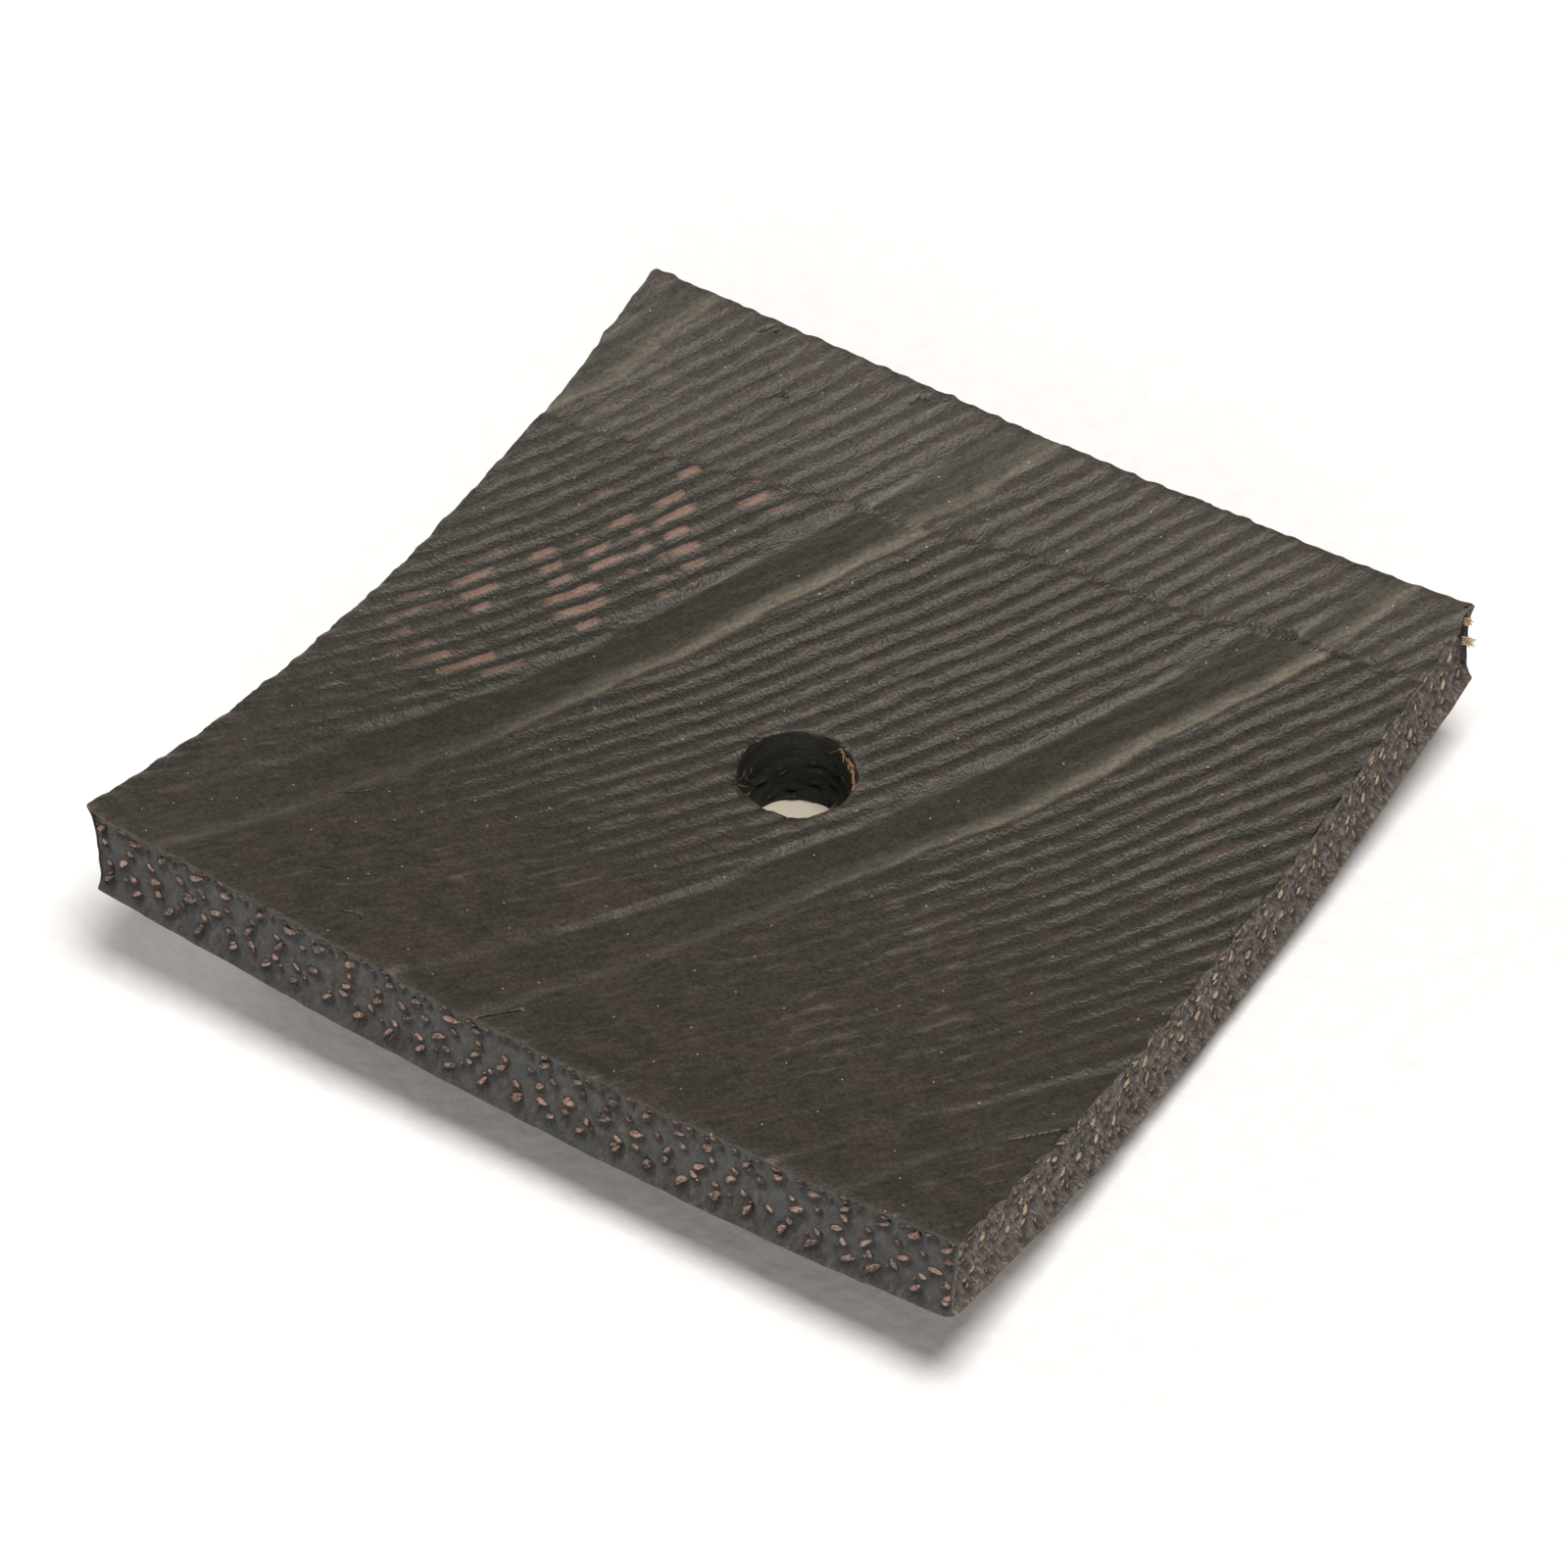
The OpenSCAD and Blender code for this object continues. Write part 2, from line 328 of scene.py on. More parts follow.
def troughShape(x, y, across, along, seam):
    # Troughs: a steep wall on the far side, a soft near wall painted pale for dust and a painted sheen,
    # # strongest towards the back, and a smooth floor
    inTrough, nearWallDustAndSheen, depth = np.zeros((3, len(x)))
    ramble = layered(along, across, (0.25, 5, 8), (0.12, 1.7, 9))
    shallow, pale = blend(1, 0.45, ramp(y, 38, 50)), blend(0.16, 1, ramp(y, -30, 25))
    for trough in troughs:
        fromFar = (x - lineX(y, trough["far"])) * troughWalls["slant"] + ramble
        fromNear = (lineX(y, trough["near"]) - x) * troughWalls["slant"] + 1.2 * ramble
        side = smooth(0.5 + (seam if trough["behindSeam"] else -seam) / 0.9)
        inside = (ramp(fromFar, troughWalls["farFrom"], troughWalls["farTo"])
                  * ramp(fromNear, troughWalls["nearFrom"], troughWalls["nearTo"]) * side)
        depth = np.where(inside > inTrough, trough["depth"] * shallow, depth)
        inTrough = np.maximum(inTrough, inside)
        wall = bell(fromNear, np.where(fromNear < 0, 0.4, troughWalls["palePart"])) * side
        wall = wall * ramp(fromFar, 0, 1.5) * (0.6 if trough["behindSeam"] else 1)
        nearWallDustAndSheen = np.maximum(nearWallDustAndSheen, wall * pale)
    return inTrough, nearWallDustAndSheen, depth


def scuffing(x, y):
    # How rough the ribs are rubbed, in spots and round the hole
    fromHole = np.hypot(x - holeX, y - holeY) - holeRadius
    scuffed = 0.8 * np.exp(-np.clip(fromHole, 0, 9) / 0.8)
    for spotX, spotY, radius in scuffedSpots:
        scuffed = np.maximum(scuffed, bell(np.hypot(x - spotX, y - spotY), radius))
    return scuffed


def seamRelief(x, y, seam):
    # Seam: a crease, with a crack where the plies have parted, and a ply that stands up behind it
    opened = np.clip(0.12 * softNoise(x, 0 * x, 3, 12), 0, 1)
    for start, end, most in seamGaps:
        opened = np.maximum(opened, most * ramp(x, start, start + 1.5) * ramp(x, end, end - 1.5))
    crack = bell(seam, seamForm["crackWidth"]) * opened
    relief = seamForm["creaseDepth"] * bell(seam, seamForm["creaseWidth"]) + seamForm["crackDepth"] * crack
    relief = relief - seamForm["plyRise"] * ramp(seam, 0, 0.8) * bell(seam, seamForm["plyWidth"])
    for points, depth, wide in nicks:
        near = bell(lineDistance(x, y, points), wide)
        relief = relief + depth * near
        crack = np.maximum(crack, near)
    return relief, crack


def paintRub(x, y, ribNo, along, seam):
    # Old marking paint, left in patches on the rib tops of one band
    band = np.clip(2.1 - lineDistance(x, y, [(-39, -1), (-34, 10), (-28, 28)]) / 5.2, 0, 1)
    patches = smooth((softNoise(ribNo * 1.6, along, 2.3, 52) + 0.25 * softNoise(x, y, 0.8, 55) + 0.22) / 0.45)
    return band * patches * ramp(softNoise(x, y, 5, 53), -0.75, -0.35) * ramp(seam, 0, -0.5)


def paintedSheenHaze(x, y, seam):
    # Painted sheen: a pale haze painted on the ply behind the seam, and along the left edge
    haze = smooth(seam / 8 + 0.4) * blend(0.5, 1, ramp(x, 10, -30)) + 0.35 * ramp(x, -34, -50)
    return sheet["hazeShare"] * np.minimum(haze, 1) * (1 + 0.4 * softNoise(x, y, 8, 54))


def topSurface(x, y):
    # Height of the top and what its material needs to know, at places on the pad. Relief is counted
    # downwards from the highest rib tops.
    across, along = ribPlace(x, y)
    seam = behindSeam(x, y)
    ribNo, crest, height = ribShape(x, y, across, along, seam)
    kept = ribsLeft(x, y)
    inTrough, nearWallDustAndSheen, depth = troughShape(x, y, across, along, seam)
    ribbed = sheet["ribHeight"] * (1 - blend(sheet["wornShare"], height, 0.1 + 0.9 * kept))
    floorDepth = depth + 0.05 * softNoise(x, y, 4, 10) - 0.05 * height
    relief = blend(ribbed, floorDepth, inTrough)

    # A thin bead beside the far wall of the middle trough
    bead = bell(lineDistance(x, y, [(6.3, -8), (1.3, -19), (-7.3, -37)]), 0.32)
    relief = relief - sheet["beadRise"] * bead

    # Flakes of rubber that stand up a little from the ribs, most of all where the top is scuffed
    scuffed = scuffing(x, y)
    flakes = smooth((softNoise(across, along / 2, 1.2, 16) - blend(0.66, 0.3, scuffed)) / 0.2)
    relief = relief - sheet["flakeRise"] * flakes * (1 - inTrough)

    # The sheet isn't quite even, and its cut edges are a little rounded
    creased, crack = seamRelief(x, y, seam)
    relief = relief + creased + layered(x, y, (0.07, 17, 13), (0.04, 6, 14), (0.025, 0.9, 15))
    fromEdge = np.minimum(halfWidth - np.abs(x), halfLength - np.abs(y))
    relief = relief + sheet["edgeRounding"] * np.exp(-np.clip(fromEdge, 0, 9) / 0.6)

    facts = {
        "ribCrest": np.maximum(crest * (1 - inTrough), bead),
        "troughFloor": inTrough,
        "troughWallDustAndSheen": nearWallDustAndSheen,
        "ribsKept": kept,
        "crackPaintedShade": np.clip(crack, 0, 1),
        "paintRub": paintRub(x, y, ribNo, along, seam) * (1 - inTrough),
        "scuffing": np.clip(scuffed, 0, 1),
        "paintedSheenHaze": paintedSheenHaze(x, y, seam),
    }
    return sheet["thick"] + curlHeight(x, y) - relief, facts


# The outline, and the cut faces below it
sides = {"front": (0, -1), "right": (1, 0), "back": (0, 1), "left": (-1, 0)}  # x and y of the way out
edge = {  # corner radii from the front left one on, and how deep the grooves bite into each side
    "topCorners": [0.35, 0.35, 0.45, 0.8], "bottomCorners": [0.5, 1.4, 0.5, 0.6],
    "grooveBite": [0.05, 0.6, 0.1, 0.1], "inset": 0.05,
}
columns = sheet["columnsPerSide"]
count = 4 * columns  # points round the outline
alongSide = (np.arange(columns) / columns * 2 - 1) * halfWidth
faceLevels = np.array([0, 0.012, 0.035, 0.065, *np.arange(10, 80, 4) / 100, 0.83, 0.88, 0.93, 0.97, 1])


def outline(cornerRadius):
    # Once round the square from the front left corner, with each corner rounded to its own radius
    parts = []
    for n, (outX, outY) in enumerate(sides.values()):
        radius = np.where(alongSide < 0, cornerRadius[n], cornerRadius[(n + 1) % 4])
        past = np.clip(np.abs(alongSide) - (halfWidth - radius), 0, None) / radius * math.pi / 4
        held = np.where(past > 0, halfWidth - radius + radius * np.sin(past), np.abs(alongSide))
        held = held * np.sign(alongSide)
        inset = radius * (1 - np.cos(past))
        parts.append(((halfWidth - inset) * outX - held * outY, (halfLength - inset) * outY + held * outX))
    return np.concatenate(parts, axis=1)


ringPlace = np.arange(count) * 2 * halfWidth / columns  # millimetres round the outline
nearCorner = np.abs((np.arange(count) + columns / 2) % columns - columns / 2) * 2 * halfWidth / columns
turned = bell(nearCorner, 0.8)[:, None]  # so that a corner moves out along its diagonal
outward = np.repeat(list(sides.values()), columns, axis=0).astype(float)
outward = outward + turned * (0.5 * (np.roll(outward, 2, 0) + np.roll(outward, -2, 0)) - outward)


def movedOut(x, y, distance):
    return x + outward[:, 0] * distance, y + outward[:, 1] * distance


def ringNoise(size, seed, offset=0.0):
    # Noise that runs round the outline and meets itself
    angle = 2 * math.pi * ringPlace / ringPlace.max()
    radius = ringPlace.max() / (2 * math.pi)
    return softNoise(radius * np.cos(angle), radius * np.sin(angle) + offset, size, seed)


topX, topY = outline(edge["topCorners"])
rough = sheet["edgeRoughness"] * (ringNoise(1.5, 21) + ringNoise(5, 22) + ringNoise(0.7, 27)) - edge["inset"]
rough -= np.repeat(edge["grooveBite"], columns) * (1 - topSurface(topX, topY)[1]["ribCrest"])
topX, topY = movedOut(topX, topY, rough)
bottomX, bottomY = outline(edge["bottomCorners"])
rough = sheet["edgeRoughness"] * (ringNoise(1.9, 23) + ringNoise(6, 24)) - edge["inset"]
bottomX, bottomY = movedOut(bottomX, bottomY, rough)


def undersidePoint(x, y):
    # The underside leans out past the top at the front and on the right, as it was cut
    x = x + blend(-sheet["leftLean"], sheet["rightLean"], (x / halfWidth + 1) / 2)
    y = y + blend(-sheet["frontLean"], sheet["backLean"], (y / halfLength + 1) / 2)
    z = sheet["thick"] * (1 - curlSteepness(x, y)) + curlHeight(x, y)
    return x, y, z + 0.2 * np.exp(-(x ** 2 + y ** 2) / 80)  # it is pressed a little flat where it rests


topRing = np.stack([topX, topY, topSurface(topX, topY)[0]], 1)
bottomRing = np.stack(undersidePoint(bottomX, bottomY), 1)

# A cut face stands in behind its two lips, most of all at the back right corner
lipProfile = np.interp(faceLevels, [0, 0.03, 0.08, 0.14, 0.3, 0.55, 0.82, 0.93, 1],
                       [0, 0.12, 0.42, 0.7, 1.0, 1.2, 0.97, 0.5, 0])
deeper = 1 + 0.3 * bell(np.hypot(topX - halfWidth, topY - halfLength), 7)
faceRings = []
for level, inset in zip(faceLevels, lipProfile):
    ring = blend(topRing, bottomRing, level)
    wave = 0.1 * ringNoise(2.2, 25, level * 9) + 0.06 * ringNoise(0.8, 26, level * 9)
    shift = -(inset * sheet["lipIn"] * deeper) + wave * min(1, inset * 2)
    ring[:, :2] += outward * shift[:, None]
    faceRings.append(ring)
faceRings = np.array(faceRings)


def facePoint(side, s, depth):
    # A point of a cut face: s millimetres along it from its middle, depth millimetres below its lip
    column = np.asarray(list(sides).index(side) * columns + (s / (2 * halfWidth) + 0.5) * columns)
    level = np.interp(depth / sheet["thick"], faceLevels, np.arange(len(faceLevels)))
    left, above = np.floor(column).astype(int), np.clip(np.floor(level).astype(int), 0, len(faceLevels) - 2)
    toRight, toBelow = (column - left)[..., None], (level - above)[..., None]
    high, low = [faceRings[row, left % count] * (1 - toRight) + faceRings[row, (left + 1) % count] * toRight
                 for row in (above, above + 1)]
    return high * (1 - toBelow) + low * toBelow


# Rows of cord ends: depth below the lip, spacing, half length, half height, how far they stand out,
# how light they are, and how many degrees they slope. The cords cross the front and back faces
# square on, where every other row shows thick cord. The other two faces were cut along the plies.
cordRows = {
    "squareCut": [
        (0.75, 2.4, 0.44, 0.22, 0.16, 0.25, -10),
        (1.3, 1.7, 0.17, 0.12, 0.1, 0.4, 0),
        (2.15, 3.8, 0.76, 0.3, 0.32, 0.6, 26),
        (3.55, 3.0, 0.46, 0.2, 0.26, 0.45, -30),
        (4.95, 3.8, 0.79, 0.3, 0.34, 0.6, 26),
        (6.2, 2.9, 0.48, 0.2, 0.26, 0.45, -30),
        (6.7, 3.1, 0.16, 0.11, 0.1, 0.4, 0),
        (7.5, 3.8, 0.74, 0.28, 0.3, 0.5, 26),
    ],
    "slantCut": [
        (0.8, 1.7, 0.34, 0.17, 0.12, 0.3, 42),
        (1.3, 3.4, 0.52, 0.24, 0.2, 0.75, 42),
        (2.2, 1.7, 0.36, 0.16, 0.1, 0.3, 42),
        (2.9, 1.3, 0.3, 0.14, 0.08, 0.15, 42),
        (3.6, 3.4, 0.54, 0.24, 0.2, 0.8, 42),
        (4.4, 1.7, 0.36, 0.16, 0.1, 0.3, 42),
        (5.2, 1.5, 0.3, 0.14, 0.08, 0.15, 42),
        (6.0, 3.3, 0.5, 0.24, 0.18, 0.7, 42),
        (6.9, 1.8, 0.34, 0.16, 0.08, 0.25, 42),
        (7.8, 3.1, 0.34, 0.18, 0.1, 0.3, 42),
    ],
}
faceCuts = {"front": "squareCut", "right": "slantCut", "back": "squareCut", "left": "slantCut"}


def cordEndsOf(side):
    # The cord ends of one face, each with a little disorder of its own. A thick cord was cut in
    # plies, so that a thinner sliver of it shows beside the main one.
    random = np.random.default_rng(60 + list(sides).index(side))
    slant = faceCuts[side] == "slantCut"
    for depth, spacing, halfLong, halfHigh, rise, light, slope in cordRows[faceCuts[side]]:
        first = -halfWidth + 1.2 + random.uniform(0, spacing)
        for s in np.arange(first, halfWidth - 1.1, spacing):
            if random.random() < (0.14 if slant else 0.04):
                continue
            size = random.uniform(0.78, 1.15)
            end = {
                "s": s + random.normal(0, 0.13 * spacing ** 0.5),
                "depth": depth + random.normal(0, 0.13) + (0.2 * math.sin(s * 0.21 + depth) if slant else 0),
                "halfLong": halfLong * size * random.uniform(0.85, 1.15),
                "halfHigh": halfHigh * size * random.uniform(0.8, 1.15),
                "tilt": math.radians(random.normal(slope, 15 if slant else 11)),
                "rise": rise * random.uniform(0.6, 1.2),
                "light": float(np.clip(light - 0.1 + random.normal(0, 0.2), 0, 1)),
            }
            yield end
            if halfLong > 0.55 and random.random() < 0.5:
                up = random.choice([-1, 1])
                yield {**end, "s": end["s"] + random.normal(0, 0.25),
                       "depth": end["depth"] - up * random.uniform(0.26, 0.4),
                       "halfLong": end["halfLong"] * random.uniform(0.5, 0.8),
                       "halfHigh": end["halfHigh"] * random.uniform(0.4, 0.6),
                       "tilt": end["tilt"] + math.radians(random.normal(0, 12)),
                       "light": float(np.clip(end["light"] + random.normal(-0.1, 0.25), 0, 1))}


cordEnds = {side: list(cordEndsOf(side)) for side in sides}

# Each cord end stands in a small hollow, where the rubber has shrunk back from it. The hollow reaches
# furthest below each end, and the same map paints it dark there as painted shade.
hollowShape = {"beside": 0.1, "below": 0.34, "longer": 0.26, "higher": 0.38, "deep": 0.3, "paintedShade": 0.85}
hollowAndPaintedShade = np.zeros((len(faceLevels), count))
for n, ends in enumerate(cordEnds.values()):
    face = hollowAndPaintedShade[:, n * columns:(n + 1) * columns]
    for end in ends:
        ds = alongSide - end["s"] - hollowShape["beside"]
        dd = (faceLevels * sheet["thick"])[:, None] - end["depth"] - hollowShape["below"]
        c, w = math.cos(end["tilt"]), math.sin(end["tilt"])
        far = (((ds * c - dd * w) / (end["halfLong"] + hollowShape["longer"])) ** 2
               + ((ds * w + dd * c) / (end["halfHigh"] + hollowShape["higher"])) ** 2)
        np.maximum(face, bell(far, 1), out=face)
hollowAndPaintedShade[[0, -1]] = 0
print("outline and cut faces laid out:", sum(len(ends) for ends in cordEnds.values()), "cord ends")


def linerRubber():
    # Natural rubber liner, calendered over cord and cured: brown black and dull, with a fine
    # leathery grain. Dust and wear make the rib tops paler, and the grooves are painted darker as shade.
    # The near walls of the troughs are painted pale for dust and a painted sheen, and a pale haze behind
    # the seam and along the left edge is painted sheen.
    look = {
        "crest": "#382f28", "groove": "#23221e", "floor": "#2a2720", "worn": "#38332c",
        "wornFloor": "#38332d", "olive": "#282923", "wallDustAndSheen": "#6d685d", "haze": "#77736d",
        "scuff": "#746b62", "paint": "#8c7064", "lint": "#a8a49c", "crack": "#0d0c0b",
        "grainSize": 0.42, "streakSize": 0.8, "mottleSize": 4.5, "scuffsEachMillimetre": 1.1,
        "lintSpacing": 4.0, "lintSize": 0.1, "lintless": 0.78,  # real lint is finer, and wouldn't show
    }
    material, tree, body = newMaterial("calenderedLinerRubber")
    crest, kept = factOf(tree, "ribCrest"), factOf(tree, "ribsKept")
    inTrough = factOf(tree, "troughFloor")
    place = factOf(tree, "ribPlace", "Vector")

    # Grain of the rubber, streaks of dust along the ribs, and wide mottling, all in millimetres
    grain = noiseOf(tree, body, 1000 / look["grainSize"], 2.0, 0.6)
    stretched = addNode(tree, "Mapping", {"Vector": place, "Scale": (1.0, 0.25, 1.0)}).outputs[0]
    streak = noiseOf(tree, stretched, 1 / look["streakSize"], 3.0, 0.6)
    mottle = noiseOf(tree, body, 1000 / look["mottleSize"], 3.0)
    tone = calculated(tree, "MULTIPLY", rescaled(tree, grain, 0.32, 0.68, 0.75, 1.25),
                      rescaled(tree, streak, 0.3, 0.7, 0.7, 1.3))

    # Base colours, from the grooves up to the rib tops, with the floors and the worn part plainer. The
    # # grooves are painted darker as shade, and the rib tops are paler with dust.
    tops = shadesOf(tree, crest, (0.2, look["groove"]), (0.85, look["crest"]))
    ribbed = mixed(tree, kept, look["worn"], tops)
    floor = mixed(tree, kept, look["wornFloor"], look["floor"])
    colour = mixed(tree, inTrough, ribbed, floor)
    colour = mixed(tree, rescaled(tree, mottle, 0.42, 0.62, 0.0, 0.5), colour, look["olive"])
    # Dust and a painted sheen on the near walls of the troughs
    colour = mixed(tree, factOf(tree, "troughWallDustAndSheen"), colour, look["wallDustAndSheen"])
    # Painted sheen: a pale haze behind the seam and along the left edge
    colour = mixed(tree, factOf(tree, "paintedSheenHaze"), colour, look["haze"])
    colour = mixed(tree, 1.0, colour, tone, blend_type="MULTIPLY")

    # Scuffs: pale dashes on the rib tops
    dashes = noiseOf(tree, stretched, look["scuffsEachMillimetre"], 4.0, 0.7, 0.4)
    dashes = calculated(tree, "MULTIPLY_ADD", factOf(tree, "scuffing"), 0.12, dashes)
    dashes = calculated(tree, "MULTIPLY", rescaled(tree, dashes, 0.58, 0.7, 0.0, 0.35), crest)
    colour = mixed(tree, dashes, colour, look["scuff"])

    # A rub of old marking paint on the rib tops, with its edges broken by the grain
    paint = calculated(tree, "MULTIPLY", rescaled(tree, crest, 0.15, 0.75), factOf(tree, "paintRub"))
    paint = calculated(tree, "MULTIPLY_ADD", tone, 0.35, paint)
    colour = mixed(tree, rescaled(tree, paint, 0.6, 1.5, 0.0, 0.75), colour, look["paint"])

    # Lint: a pale speck in some cells of a pattern that covers the top
    cells = addNode(tree, "TexVoronoi", {"Vector": place, "Scale": 1 / look["lintSpacing"]},
                    voronoi_dimensions="2D")
    speck = calculated(tree, "LESS_THAN", cells.outputs["Distance"], look["lintSize"] / look["lintSpacing"])
    chosen = addNode(tree, "SeparateColor", {"Color": cells.outputs["Color"]}).outputs[0]
    speck = calculated(tree, "MULTIPLY", speck, calculated(tree, "GREATER_THAN", chosen, look["lintless"]))
    colour = mixed(tree, calculated(tree, "MULTIPLY", speck, 0.7), colour, look["lint"])
    # Painted shade: inside the seam crack and the nicks the top is painted near black
    colour = mixed(tree, factOf(tree, "crackPaintedShade"), colour, look["crack"])

    # The relief is fainter where the ribs are worn, and on the floors
    rough = calculated(tree, "MULTIPLY_ADD", grain, 0.3, 0.3)
    heights = calculated(tree, "MULTIPLY_ADD", streak, 1.2, grain)
    strength = calculated(tree, "MULTIPLY_ADD", kept, 0.6, 0.4)
    strength = addNode(tree, "Mix", {0: inTrough, 2: strength, 3: 0.35}).outputs[0]
    dustySheen = {"IOR": 1.5, "Specular IOR Level": 0.5, "Specular Tint": (1.0, 0.95, 0.89, 1.0)}
    addSurface(tree, colour, rough, heights, strength, 0.14, dustySheen)
    return material


def cutRubber(name, look):
    # Rubber cut with a knife: torn in fine lumps and streaks, and polished grey by the blade between.
    # # Clouds of another tone lie over it; on the slate faces their bluish tint is a painted reflection
    # # of the floor.
    material, tree, body = newMaterial(name)
    stretch = {"Vector": body, "Scale": look["tearStretch"], "Rotation": look["tearTurn"]}
    torn = addNode(tree, "Mapping", stretch, vector_type="TEXTURE").outputs[0]
    tears = noiseOf(tree, torn, 1000 / look["tearSize"], 4.0, 0.75)
    cloudSize = 2.0
    colour = shadesOf(tree, tears, (0.34, look["dark"]), (0.5, look["base"]), (0.66, look["light"]))
    # Clouds of another tone, bluish on the slate faces as a painted reflection of the floor
    clouds = rescaled(tree, noiseOf(tree, body, 1000 / cloudSize), 0.42, 0.62, 0.0, look["cloudShare"])
    colour = mixed(tree, clouds, colour, look["cloud"])
    # Painted shade: the cord hollows are painted near black, most of all below each end
    colour = mixed(tree, factOf(tree, "cordHollowPaintedShade"), colour, "#0f0d0c")
    addSurface(tree, colour, look["roughness"], tears, 1.0, 0.3, {"IOR": 1.5})
    return material


def buffedRubber():
    # Underside, buffed with a rasp: even dark grey brown, with fine scratches that run one way
    scratchSize = 0.7
    material, tree, body = newMaterial("buffedUndersideRubber")
    rasp = addNode(tree, "Mapping", {"Vector": body, "Scale": (1.0, 0.07, 1.0), "Rotation": (0, 0, 0.6)})
    rasp = noiseOf(tree, rasp.outputs[0], 1000 / scratchSize, 4.0)
    colour = shadesOf(tree, rasp, (0.3, "#262320"), (0.7, "#403b36"))
    addSurface(tree, colour, 0.62, rasp, 0.8, 0.1, {"IOR": 1.5})
    return material


def cordNylon(name, dull, bright, fibreSize):
    # Rubber dipped nylon tyre cord, cut across: dull where rubber clings to it, pale where it is fresh.
    # # The lightness kept on its points holds the cord's own tone, and on the cut ends also a painted
    # # highlight above and painted shade below.
    material, tree, body = newMaterial(name)
    fibres = noiseOf(tree, body, 1000 / fibreSize, 3.0, 0.7)
    shown = calculated(tree, "MULTIPLY_ADD", fibres, 2.6, -1.3)
    shown = calculated(tree, "ADD", factOf(tree, "cordToneAndPaintedLight"), shown, use_clamp=True)
    addSurface(tree, mixed(tree, shown, dull, bright), 0.6, fibres, 0.7, 0.08, {"IOR": 1.53})
    return material


def paperSweep():
    # Matt white backdrop paper under the pad, with painted shade on it where the bolt hole stands
    look = {"low": "#f5f7fa", "high": "#fafcff", "holeShade": "#bbb09a", "pulpSize": 2.5,
            "holeShadeRadius": 0.006, "holeShadeEnd": 0.011, "holeShadeShare": 0.85}
    material, tree, body = newMaterial("mattBackdropPaper")
    pulp = noiseOf(tree, body, 1000 / look["pulpSize"])
    colour = shadesOf(tree, pulp, (0.3, look["low"]), (0.7, look["high"]))
    fromHole = addNode(tree, "VectorMath", {0: body}, operation="LENGTH").outputs["Value"]
    # Painted shade on the paper under the bolt hole
    holeShade = rescaled(tree, fromHole, look["holeShadeRadius"], look["holeShadeEnd"], look["holeShadeShare"], 0.0)
    addSurface(tree, mixed(tree, holeShade, colour, look["holeShade"]), 0.9, pulp, 0.4, 0.4)
    return material


liner = linerRubber()
# Its bluish clouds are a painted reflection of the floor
slateCut = cutRubber("knifeCutSlateRubber", {
    "dark": "#1e1e1b", "base": "#343430", "light": "#504e49", "cloud": "#3e4043", "cloudShare": 0.6,
    "roughness": 0.5, "tearStretch": (1.0, 1.0, 2.4), "tearTurn": (0, 0.2, 0), "tearSize": 0.7})
brownCut = cutRubber("knifeCutBrownRubber", {
    "dark": "#28231f", "base": "#534b44", "light": "#978b7f", "cloud": "#57524e", "cloudShare": 0.5,
    "roughness": 0.58, "tearStretch": (1.0, 0.7, 3.0), "tearTurn": (0.5, 0, 0), "tearSize": 0.45})
boreRubber = cutRubber("tornBoreRubber", {
    "dark": "#050605", "base": "#12130f", "light": "#302c24", "cloud": "#171a16", "cloudShare": 0.5,
    "roughness": 0.7, "tearStretch": (2.4, 2.4, 0.7), "tearTurn": (0, 0, 0), "tearSize": 0.7})
underside = buffedRubber()
copperCord = cordNylon("cutNylonCordCopper", "#382e2a", "#aa8e80", 0.3)
tanCord = cordNylon("cutNylonCordTan", "#4d3d31", "#b5a088", 0.22)
cornerCord = cordNylon("frayedNylonCordPale", "#776047", "#c9b291", 0.22)
boreCord = cordNylon("frayedNylonCordBrown", "#2c1c14", "#b48a68", 0.22)
print("materials made")


def addPiece(name, points, faces, materials, faceMaterial=None, sharpAngle=50):
    # The points are given in millimetres from the pad's middle, and stored in the row frame in metres
    mesh = bpy.data.meshes.new(name)
    bm = bmesh.new()
    verts = [bm.verts.new(p) for p in (np.asarray(points, float) - [holeX, holeY, 0]) / 1000]
    for n, face in enumerate(faces):
        made = bm.faces.new([verts[i] for i in face])
        made.material_index = faceMaterial[n] if faceMaterial else 0
    bm.to_mesh(mesh)
    bm.free()
    for material in materials:
        mesh.materials.append(material)
    mesh.shade_smooth()
    mesh.set_sharp_from_angle(angle=math.radians(sharpAngle))
    piece = bpy.data.objects.new(name, mesh)
    bpy.context.collection.objects.link(piece)
    return piece


def keepFact(piece, name, values):
    # One number or one vector for each point
    values = np.asarray(values, np.float32)
    kind, field = ("FLOAT_VECTOR", "vector") if values.ndim == 2 else ("FLOAT", "value")
    piece.data.attributes.new(name, kind, "POINT").data.foreach_set(field, values.ravel())


